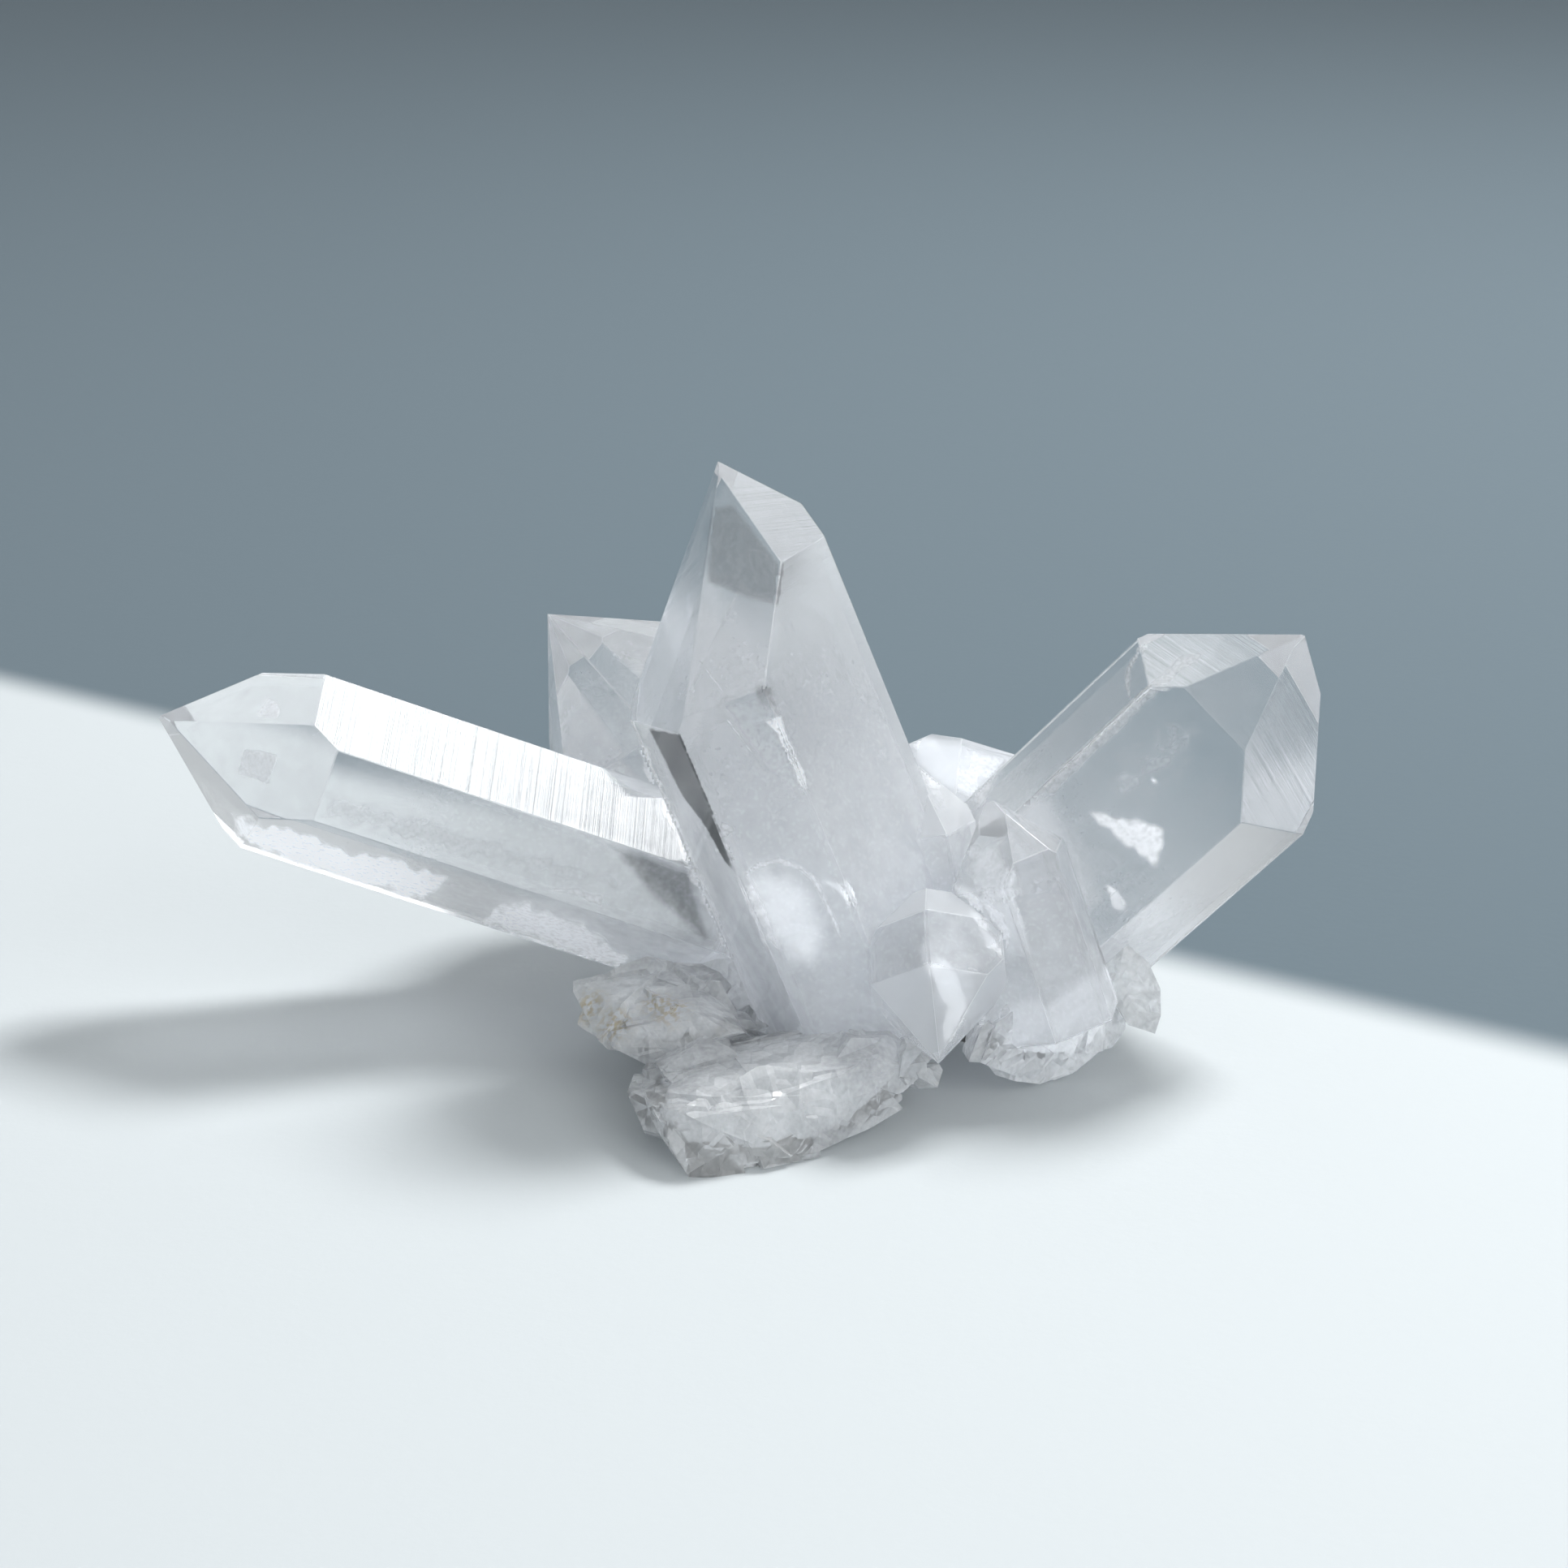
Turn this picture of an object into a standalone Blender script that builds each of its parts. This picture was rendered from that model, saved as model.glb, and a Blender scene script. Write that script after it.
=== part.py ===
"""A cluster of clear quartz crystals grown together from one rough broken foot.

Lengths are in millimetres in the tables below and turned into metres when the meshes are built.
+X is to the right, +Y to the back, +Z up; z = 0 is the surface that the cluster rests on.
"""

import itertools
import math
import random
from dataclasses import dataclass

import bmesh
import bpy
from mathutils import Matrix, Vector

MM = 0.001

QUARTZ_COLOUR = (0.95, 0.97, 0.98)
QUARTZ_ROUGHNESS = 0.05
QUARTZ_IOR = 1.544

# Quartz has a six-sided prism closed by six tip faces, each leaning this far from the long axis.
TIP_FACE_LEAN_DEG = 38.21
PRISM_STEP_DEG = 60.0

# Splinters stand out of the broken foot in flats of their own.
SHARD_SEED = 12
SPOT_TRIES = 4000
SHARD_DEPTH = (0.6, 2.6)  # how far under the surface of its lump the middle of a splinter lies
SHARD_LOWEST = 0.5
SHARD_FLATS = 14
SHARD_REACH = (0.5, 1.05)  # of the splinter's size, from its middle to a flat
SHARD_STRETCH = 0.8
SHARD_TILT = 0.22
SHARD_STEP = (-1.4, 0.3)  # from the lump's own flats to the splinter's copies of them
LUMP_INSET = 1.2

CUTTER_SIZE = 0.4
SMALLEST_HULL_AREA = 1e-3
HULL_TOLERANCE = 1e-5
SAME_DIRECTION = 0.99999
CUT_SNAP = 1e-3
BLANK_REACH = 3.0  # of a solid's size, the half width of the blank that it is cut from
FEWEST_FACES = 4


@dataclass(frozen=True)
class Crystal:
    """One crystal: where its axis starts, how it points, and how far out each face stands."""

    name: str
    foot: tuple
    heading: float  # of the long axis, degrees from +X towards +Y
    rise: float  # of the long axis above the horizontal, degrees
    turn: float  # of the first prism face about the axis, degrees
    sides: tuple  # distance of the six prism faces from the axis
    tips: tuple  # distance along the axis where the six tip faces cross it
    root: float  # how far the crystal goes on below its foot point
    lower_tips: tuple = ()  # the same below the foot, on a crystal closed at both ends


CRYSTALS = (
    Crystal("tall", (8.0, -10.5, 9.5), 164, 67, 97,
            (9.0, 10.5, 13.0, 8.0, 9.0, 5.5), (36.5, 46.5, 52.5, 55.0, 37.0, 31.0), 8.0),
    Crystal("right", (25.0, -3.0, 11.5), -18, 48, -93,
            (5.0, 9.0, 12.5, 8.0, 8.5, 7.5), (33.0, 33.5, 39.5, 37.5, 36.0, 34.0), 13.0),
    Crystal("left", (-7.0, 4.0, 11.0), 187, 22, 99,
            (9.0, 7.5, 6.5, 8.0, 9.0, 7.0), (42.0, 42.5, 46.0, 52.0, 48.0, 43.5), 14.0),
    Crystal("square", (-0.5, 16.0, 13.5), 188, 50, 66,
            (9.0, 9.0, 8.5, 8.0, 8.5, 9.0), (24.0, 24.0, 24.5, 25.0, 25.0, 24.5), 18.0),
    Crystal("back", (23.0, 14.0, 10.0), 184, 19, 88,
            (8.0, 9.0, 8.0, 8.0, 8.0, 8.0), (18.0, 17.0, 18.0, 19.0, 18.0, 18.5), 20.0,
            (14.0, 15.0, 13.0, 14.0, 15.0, 13.5)),
    Crystal("stub", (25.5, -14.0, 9.5), 150, 68, 80,
            (4.5, 6.0, 6.0, 5.0, 4.5, 5.0), (14.5, 18.0, 17.5, 15.5, 15.0, 13.5), 5.0),
    Crystal("hanging", (17.5, -18.0, 13.5), 273, -40, 159,
            (4.5, 5.0, 5.5, 5.0, 5.0, 5.5), (10.0, 10.5, 11.0, 11.0, 10.5, 9.5), 4.5,
            (6.5, 7.0, 6.5, 7.0, 7.5, 6.5)),
    Crystal("shoulder", (17.5, -8.0, 13.5), 154, 79, 109,
            (4.0, 4.5, 4.0, 4.0, 4.0, 4.0), (12.0, 12.5, 13.0, 13.0, 12.0, 12.5), 5.0),
)


def new_material(name, colour, roughness):
    material = bpy.data.materials.new(name)
    material.use_nodes = True
    shader = material.node_tree.nodes["Principled BSDF"]
    shader.inputs["Base Color"].default_value = (*colour, 1.0)
    shader.inputs["Roughness"].default_value = roughness
    shader.inputs["IOR"].default_value = QUARTZ_IOR
    shader.inputs["Transmission Weight"].default_value = 1.0
    return material


def new_object(name, mesh_data):
    mesh = bpy.data.meshes.new(name)
    mesh_data.to_mesh(mesh)
    mesh_data.free()
    obj = bpy.data.objects.new(name, mesh)
    bpy.context.scene.collection.objects.link(obj)
    return obj


def crystal_axes(crystal):
    """Two directions across the crystal, the first square to face 0, and its long axis."""
    heading, rise, turn = (math.radians(a) for a in (crystal.heading, crystal.rise, crystal.turn))
    level = Vector((math.cos(heading), math.sin(heading), 0.0))
    up = Vector((0.0, 0.0, 1.0))
    axis = level * math.cos(rise) + up * math.sin(rise)
    below = level * math.sin(rise) - up * math.cos(rise)
    beside = axis.cross(below)
    first = below * math.cos(turn) + beside * math.sin(turn)
    return first, axis.cross(first), axis


def crystal_faces(crystal):
    """Every face of the crystal as a point on it and its outward direction."""
    first, second, axis = crystal_axes(crystal)
    foot = Vector(crystal.foot)
    lean = math.radians(TIP_FACE_LEAN_DEG)
    faces = []
    for number in range(6):
        angle = math.radians(PRISM_STEP_DEG * number)
        outward = first * math.cos(angle) + second * math.sin(angle)
        faces.append((foot + outward * crystal.sides[number], outward))
        slope = outward * math.cos(lean) + axis * math.sin(lean)
        faces.append((foot + axis * crystal.tips[number], slope))
        if crystal.lower_tips:
            slope = outward * math.cos(lean) - axis * math.sin(lean)
            faces.append((foot - axis * crystal.lower_tips[number], slope))
    faces.append((foot - axis * crystal.root, -axis))
    return faces


def cut_block(block, point, outward):
    """Cuts off what lies outward of a plane and closes the block with a flat face."""
    cut = bmesh.ops.bisect_plane(
        block, geom=[*block.verts, *block.edges, *block.faces],
        plane_co=point, plane_no=outward, clear_outer=True, dist=CUT_SNAP,
    )
    rim = [part for part in cut["geom_cut"] if isinstance(part, bmesh.types.BMEdge)]
    if rim:
        bmesh.ops.holes_fill(block, edges=rim, sides=0)


def build_crystal(crystal):
    planes = crystal_faces(crystal)
    reach = max(crystal.tips) * BLANK_REACH
    return solid_from_planes(crystal.name, Vector(crystal.foot), reach, planes)


def hull_faces(corners):
    """The outer planes of a few corner points, each as a point on it and its outward direction."""
    points = [Vector(corner) for corner in corners]
    faces = []
    for a, b, c in itertools.combinations(points, 3):
        across = (b - a).cross(c - a)
        if across.length < SMALLEST_HULL_AREA:
            continue
        outward = across.normalized()
        heights = [outward.dot(point - a) for point in points]
        if min(heights) > -HULL_TOLERANCE:
            outward = -outward
        elif max(heights) > HULL_TOLERANCE:
            continue
        if not any(outward.dot(known) > SAME_DIRECTION for _, known in faces):
            faces.append((a, outward))
    return faces


def solid_from_planes(name, middle, reach, planes):
    """The closed block inside a set of planes, or None where nothing is left of it."""
    block = bmesh.new()
    bmesh.ops.create_cube(block, size=reach * 2, matrix=Matrix.Translation(middle))
    for point, outward in planes:
        cut_block(block, point, outward)
    if len(block.faces) < FEWEST_FACES:
        block.free()
        return None
    bmesh.ops.recalc_face_normals(block, faces=block.faces[:])
    bmesh.ops.scale(block, vec=(MM, MM, MM), verts=block.verts[:])
    return new_object(name, block)


def random_direction(chance):
    turn, height = chance.uniform(0.0, 2.0 * math.pi), chance.uniform(-1.0, 1.0)
    level = math.sqrt(1.0 - height * height)
    return Vector((level * math.cos(turn), level * math.sin(turn), height))


def shard_spot(chance, corners, planes):
    """A random place just under the surface of a lump."""
    spans = [(min(axis), max(axis)) for axis in zip(*corners)]
    for _ in range(SPOT_TRIES):
        spot = Vector([chance.uniform(low, high) for low, high in spans])
        depth = min((point - spot).dot(outward) for point, outward in planes)
        if SHARD_DEPTH[0] < depth < SHARD_DEPTH[1] and spot.z > SHARD_LOWEST:
            return spot
    raise RuntimeError("no room for a shard")


def shard_planes(chance, spot, size, planes):
    """The planes of one splinter: rough flats of its own, and the lump's flats a little off."""
    grain = random_direction(chance)
    flats = []
    for _ in range(SHARD_FLATS):
        outward = random_direction(chance)
        stretch = 1.0 + SHARD_STRETCH * abs(outward.dot(grain))
        flats.append((spot + outward * size * stretch * chance.uniform(*SHARD_REACH), outward))
    for point, outward in planes:
        tilted = (outward + random_direction(chance) * SHARD_TILT).normalized()
        flats.append((point + outward * chance.uniform(*SHARD_STEP), tilted))
    return flats


@dataclass(frozen=True)
class Lump:
    """One lump of the foot: its corners, and the splinters that stand out of it."""

    name: str
    corners: tuple
    shards: int = 0
    shard_sizes: tuple = (1.0, 1.0)


LUMPS = (
    Lump("front_foot",
         ((-3.0, -33.5, 0.0), (1.0, -33.5, -0.5), (7.0, -31.5, -0.5), (10.0, -29.5, 0.0),
          (-6.0, -30.5, 3.0), (-8.0, -26.5, 5.5), (-5.0, -31.0, 5.5), (4.0, -30.5, 6.0),
          (10.5, -27.5, 7.5), (15.0, -25.0, 3.0), (19.0, -21.5, 5.0), (16.0, -17.0, 9.0),
          (14.0, -12.0, -2.0), (-6.0, -14.0, -2.0), (-5.0, -17.0, 5.0), (5.0, -17.0, 7.0)),
         60, (2.2, 4.6)),
    Lump("left_foot",
         ((-13.0, -13.0, 8.5), (-10.0, -11.0, 9.5), (-1.0, -9.0, 9.0), (3.5, -22.0, 7.0),
          (-8.0, -23.0, 4.5), (-11.0, -21.0, 5.0), (-12.5, -18.5, 6.5), (-2.0, -20.0, 9.5),
          (-4.0, 0.0, -2.0), (5.0, -5.0, -2.0)),
         34, (1.8, 3.8)),
    Lump("right_foot",
         ((20.0, -21.5, 3.5), (24.0, -18.0, 4.0), (29.0, -15.5, 1.5), (31.0, -15.0, -0.5),
          (32.5, -13.5, 0.0), (34.5, -11.0, 1.5), (33.0, -9.0, 9.0), (31.0, -8.5, 11.0),
          (22.0, -21.0, 9.0), (27.0, -18.0, 11.5), (18.0, -5.0, 1.0), (30.0, 0.0, 3.0)),
         30, (1.6, 3.2)),
    Lump("flake",
         ((34.0, -8.5, 10.0), (36.0, -9.5, 8.5), (37.0, -10.5, 6.5), (37.0, -11.5, 4.5),
          (36.5, -12.0, 3.0), (34.0, -13.5, 4.5), (33.0, -12.0, 6.0), (31.0, -6.0, 7.0))),
    Lump("core",
         ((-8.0, -4.0, -2.0), (-6.0, 14.0, -2.0), (6.0, 26.0, -2.0), (22.0, 22.0, 1.0),
          (30.0, 4.0, 4.0), (18.0, -14.0, 2.0), (-2.0, 12.0, 13.0), (8.0, 18.0, 14.0),
          (20.0, 10.0, 15.0), (24.0, -4.0, 13.0), (4.0, -4.0, 15.0), (14.0, -12.0, 14.0)),
         40, (3.0, 5.0)),
)


def build_foot():
    """The broken foot: lumps, each with splinters standing out of it in flat facets."""
    chance = random.Random(SHARD_SEED)
    pieces = []
    for lump in LUMPS:
        planes = hull_faces(lump.corners)
        middle = sum((Vector(corner) for corner in lump.corners), Vector()) / len(lump.corners)
        reach = max((Vector(corner) - middle).length for corner in lump.corners) * BLANK_REACH
        inset = LUMP_INSET if lump.shards else 0.0
        body = [(point - outward * inset, outward) for point, outward in planes]
        pieces.append(solid_from_planes(lump.name, middle, reach, body))
        for number in range(lump.shards):
            spot = shard_spot(chance, lump.corners, planes)
            size = chance.uniform(*lump.shard_sizes)
            flats = shard_planes(chance, spot, size, planes)
            shard = solid_from_planes(f"{lump.name}_{number}", spot, size * BLANK_REACH, flats)
            if shard:
                pieces.append(shard)
    return pieces


def hide_helper(obj):
    obj.hide_render = True
    obj.display_type = "WIRE"


def join_to(base, others):
    """Makes the base one solid with every other one."""
    joined = bpy.data.collections.new("grown_on")
    bpy.context.scene.collection.children.link(joined)
    for other in others:
        joined.objects.link(other)
        hide_helper(other)
    union = base.modifiers.new("grown_on", "BOOLEAN")
    union.operand_type = "COLLECTION"
    union.collection = joined
    union.operation = "UNION"
    union.solver = "EXACT"


def cut_from(base, cutter):
    cut = base.modifiers.new(cutter.name, "BOOLEAN")
    cut.operation = "DIFFERENCE"
    cut.solver = "EXACT"
    cut.object = cutter
    hide_helper(cutter)


def build_rest_cutter():
    """A block whose top is the surface the cluster rests on."""
    block = bmesh.new()
    bmesh.ops.create_cube(block, size=CUTTER_SIZE)
    bmesh.ops.translate(block, vec=(0.0, 0.0, -CUTTER_SIZE / 2), verts=block.verts[:])
    return new_object("rest_cutter", block)


def centre_on_origin(cluster, pieces):
    """Hangs every piece on an empty moved so that the origin is under the middle of the cluster."""
    bpy.context.view_layer.update()
    shape = cluster.evaluated_get(bpy.context.evaluated_depsgraph_get()).data
    xs = [vert.co.x for vert in shape.vertices]
    ys = [vert.co.y for vert in shape.vertices]
    stand = bpy.data.objects.new("stand_point", None)
    bpy.context.scene.collection.objects.link(stand)
    stand.location = (-(min(xs) + max(xs)) / 2, -(min(ys) + max(ys)) / 2, 0.0)
    for piece in pieces:
        piece.parent = stand


def clear_scene():
    for obj in list(bpy.data.objects):
        bpy.data.objects.remove(obj)


def main():
    clear_scene()
    crystals = [build_crystal(crystal) for crystal in CRYSTALS]
    cluster = crystals[0]
    cluster.name = "quartz_cluster"
    grown_on = [*crystals[1:], *build_foot()]
    join_to(cluster, grown_on)
    rest_cutter = build_rest_cutter()
    cut_from(cluster, rest_cutter)
    cluster.data.materials.append(new_material("quartz", QUARTZ_COLOUR, QUARTZ_ROUGHNESS))
    centre_on_origin(cluster, [cluster, *grown_on, rest_cutter])


main()
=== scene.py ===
import itertools
import math
import random
from dataclasses import dataclass, replace

import bmesh
import bpy
import numpy as np
from bpy.props import FloatProperty, FloatVectorProperty, PointerProperty
from mathutils import Matrix, Vector, noise
from mathutils.bvhtree import BVHTree


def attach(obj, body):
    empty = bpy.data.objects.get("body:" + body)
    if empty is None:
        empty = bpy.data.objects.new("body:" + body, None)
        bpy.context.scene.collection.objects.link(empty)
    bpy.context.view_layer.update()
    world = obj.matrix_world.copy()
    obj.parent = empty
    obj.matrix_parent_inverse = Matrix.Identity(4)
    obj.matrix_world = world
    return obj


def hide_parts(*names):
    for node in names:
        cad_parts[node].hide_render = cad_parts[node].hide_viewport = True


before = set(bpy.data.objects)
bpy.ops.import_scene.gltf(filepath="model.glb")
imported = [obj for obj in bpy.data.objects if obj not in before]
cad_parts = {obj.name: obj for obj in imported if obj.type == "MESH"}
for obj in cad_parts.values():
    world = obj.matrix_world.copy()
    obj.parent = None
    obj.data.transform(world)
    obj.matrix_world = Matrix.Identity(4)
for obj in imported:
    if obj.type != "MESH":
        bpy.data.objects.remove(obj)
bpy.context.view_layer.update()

bl_info = {
    "name": "Quartz crystal cluster",
    "version": (1, 0, 0),
    "blender": (4, 5, 0),
    "location": "3D View > Sidebar > Quartz",
    "description": "Grows the crystals, their broken foot, the milk and veils inside them, and the studio",
    "category": "Add Mesh",
}

CAD_NODE = "quartz_cluster"
MM = 0.001

# The crystals stand where their feet say. The whole cluster then moves so that its middle is over the origin.
STAND = Vector((-0.341, 3.188, 0.0))

# Quartz has a six-sided prism closed by six tip faces, each leaning this far from the long axis.
TIP_FACE_LEAN_DEG = 38.21
PRISM_STEP_DEG = 60.0
QUARTZ_IOR = 1.544

# Splinters stand out of the broken foot in flats of their own.
SHARD_SEED = 12
SPOT_TRIES = 4000
SHARD_DEPTH = (0.6, 2.6)  # how far under the surface of its lump the middle of a splinter lies
SHARD_LOWEST = 0.5
SHARD_FLATS = 14
SHARD_REACH = (0.5, 1.05)  # of the splinter's size, from its middle to a flat
SHARD_STRETCH = 0.8
SHARD_TILT = 0.22
SHARD_STEP = (-1.4, 0.3)  # from the lump's own flats to the splinter's copies of them
LUMP_INSET = 1.2

SMALLEST_HULL_AREA = 1e-3
HULL_TOLERANCE = 1e-5
SAME_DIRECTION = 0.99999
CUT_SNAP = 1e-3
BLANK_REACH = 3.0  # of a solid's size, the half width of the blank that it is cut from
FEWEST_FACES = 4
REST_CUTTER_SIZE = 0.4

# Worn strips along the crystal edges.
WEAR_SEED = 3
WEAR_SPREAD = (0.5, 1.6)  # of the set width, from one edge to the next
SHORTEST_WORN_EDGE = 0.6
SAME_FACE_GAP = 0.004  # mm: a face further than this from every plane of the crystals is a worn one
SAME_FACE_TURN = 0.999  # the least cosine between a face and the plane that it lies on
TURN_PENALTY = 0.05  # mm that a quarter turn away from a plane counts for

# While the cluster is joined, a face of the foot has this material number and a face of a crystal has 0.
BROKEN = 1

# The view that places are given in: a square picture, its middle looking at AIM from the front.
VIEW_WIDTH = 1932
VIEW_FOCUS = 3874.0
VIEW_DISTANCE = 272.0
VIEW_DOWN_DEG = 20.0
AIM = Vector((5.0, 0.0, 21.2)) + STAND
SENSOR_WIDTH = 36.0

NEAREST_SEEN = 0.01

# The shape of the veils. Rates are per pixel of the view.
VEIL_SEED = 5
VEIL_DRIFT_RATE = 0.08
VEIL_DRIFT_SLICE = 7.0  # where the drift is read, so that it differs from the waves
VEIL_WAVE_RATE = 0.03
VEIL_LARGEST_JUMP = 0.5  # of the view's scale, from one corner of a square to the next
RIBBON_END = 0.3  # of the width, at both ends of a ribbon

# The milky hearts: how far one goes on below the crystal's foot point, and its lowest point, mm.
HEART_ROOT = 6.0
HEART_LOWEST = 1.5
FOOT_HEART_INSET = 2.3
FOOT_HEART_LOWEST = 0.7
FOOT_HEART_CLOUD = 1.0
FOOT_HEART_RATE = 0.3
# Painted glow of each lump's milky heart: emitted light standing in for sunlight.
FOOT_PAINTED_GLOWS = {"front_foot": 0.08, "left_foot": 0.06, "right_foot": 0.6, "core": 0.2}

# Relief of the skin, mm. Rates here and below are per mm.
WIDE_RATE = 0.14
FINE_RATE = 1.8
FINE_ROUGHNESS = 0.6
GROWTH_LINE = 0.010
GROWTH_LINE_RATE = 2.2
GROWTH_LINE_ROUGHNESS = 0.7
CHIP_RATE = 0.45
CHIP_DEPTH = 0.9
BROKEN_GRAIN = 0.10
WORN_GRAIN = 0.04

# Roughness of the skin.
CLEAR_ROUGH = 0.01
BROKEN_ROUGH = 0.04
BROKEN_ROUGH_GRAIN = 0.16
WORN_ROUGH = 0.22
CLOUDY_ROUGH = 0.25

# How cloudy the skin is, and how much of the light goes on through the cloudy part of it.
THROUGH_SHARE = 0.45
FOOT_CLOUD = 0.43
FOOT_CLOUD_WIDE = 0.5
FOOT_CLOUD_FINE = 0.2
ROOT_CLOUD = 0.16
ROOT_FADE = (2.0, 26.0)  # mm above the crystal's foot point, from milky to clear
ROOT_FADE_DRIFT = 20.0
WORN_CLOUD = 0.12
TIP_CLOUD = 0.14

# The bubbles of veils and hearts.
# Colour of the dark veils: painted dark reflections, sheets put where the quartz only shows dark
# surroundings.
PAINTED_DARK_VEIL = (0.03, 0.037, 0.042)
BUBBLE_ROUGH = 0.6
BUBBLE_THROUGH = 0.5
VEIL_GRAIN_RATE = 2.2
VEIL_GRAIN_ROUGHNESS = 0.7
VEIL_GRAIN_SPAN = (0.25, 0.65)
VEIL_COVER = 0.72
VEIL_GRAIN_COVER = 0.33
HEART_DETAIL = 1.5
HEART_ROUGHNESS = 0.6
HEART_FADE = (0.05, 1.0)  # of the heart's length, from full to nothing
HEART_FADE_DRIFT = 0.9
HEART_COVER = 0.55
HEART_CLOUD_SPAN = (0.36, 0.66)
HEART_CLOUD_COVER = 0.35
SPECK_RATE = 3.0
SPECK_SPAN = (0.55, 0.75)
SPECK_COVER = 0.12

# Rusty stains on the left of the foot, in pixels of the view.
STAIN_SPOTS = ((725, 1240), (757, 1262), (810, 1230), (827, 1245))
STAIN_RADIUS = 2.6
STAIN_GRAIN_SPAN = (0.35, 0.65)

# The floor. A painted shadow covers it from a slanting line behind the cluster onwards.
FLOOR_REACH = 40.0
SHADE_ACROSS = (0.546, 0.838)  # the level direction square to that line
SHADE_START = 30.0
SHADE_BLUR = 8.0
PAPER_RATE = 0.9
PAPER_GRAIN = 0.02
FLOOR_ROUGH = 0.7
FLOOR_SHINE = 0.2

# The sky is paler overhead than at the horizon.
SKY_LOW = 0.62
SKY_RISE = 0.38
SKY_SPAN = (-0.1, 0.9)

# What a render needs to stay short.
NOISE_LIMIT = 0.06
LIGHT_BOUNCES = 9
MIRROR_BOUNCES = 5


@dataclass(frozen=True)
class Crystal:
    """One crystal: where its axis starts, how it points, and how far out each face stands."""

    name: str
    foot: tuple
    heading: float  # of the long axis, degrees from +X towards +Y
    rise: float  # of the long axis above the horizontal, degrees
    turn: float  # of the first prism face about the axis, degrees
    sides: tuple  # distance of the six prism faces from the axis
    tips: tuple  # distance along the axis where the six tip faces cross it
    root: float  # how far the crystal goes on below its foot point
    lower_tips: tuple = ()  # the same below the foot, on a crystal closed at both ends


CRYSTALS = (
    Crystal("tall", (8.0, -10.5, 9.5), 164, 67, 97,
            (9.0, 10.5, 13.0, 8.0, 9.0, 5.5), (36.5, 46.5, 52.5, 55.0, 37.0, 31.0), 8.0),
    Crystal("right", (25.0, -3.0, 11.5), -18, 48, -93,
            (5.0, 9.0, 12.5, 8.0, 8.5, 7.5), (33.0, 33.5, 39.5, 37.5, 36.0, 34.0), 13.0),
    Crystal("left", (-7.0, 4.0, 11.0), 187, 22, 99,
            (9.0, 7.5, 6.5, 8.0, 9.0, 7.0), (42.0, 42.5, 46.0, 52.0, 48.0, 43.5), 14.0),
    Crystal("square", (-0.5, 16.0, 13.5), 188, 50, 66,
            (9.0, 9.0, 8.5, 8.0, 8.5, 9.0), (24.0, 24.0, 24.5, 25.0, 25.0, 24.5), 18.0),
    Crystal("back", (23.0, 14.0, 10.0), 184, 19, 88,
            (8.0, 9.0, 8.0, 8.0, 8.0, 8.0), (18.0, 17.0, 18.0, 19.0, 18.0, 18.5), 20.0,
            (14.0, 15.0, 13.0, 14.0, 15.0, 13.5)),
    Crystal("stub", (25.5, -14.0, 9.5), 150, 68, 80,
            (4.5, 6.0, 6.0, 5.0, 4.5, 5.0), (14.5, 18.0, 17.5, 15.5, 15.0, 13.5), 5.0),
    Crystal("hanging", (17.5, -18.0, 13.5), 273, -40, 159,
            (4.5, 5.0, 5.5, 5.0, 5.0, 5.5), (10.0, 10.5, 11.0, 11.0, 10.5, 9.5), 4.5,
            (6.5, 7.0, 6.5, 7.0, 7.5, 6.5)),
    Crystal("shoulder", (17.5, -8.0, 13.5), 154, 79, 109,
            (4.0, 4.5, 4.0, 4.0, 4.0, 4.0), (12.0, 12.5, 13.0, 13.0, 12.0, 12.5), 5.0),
)


@dataclass(frozen=True)
class Lump:
    """One lump of the foot: its corners, and the splinters that stand out of it."""

    name: str
    corners: tuple
    shards: int = 0
    shard_sizes: tuple = (1.0, 1.0)


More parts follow.
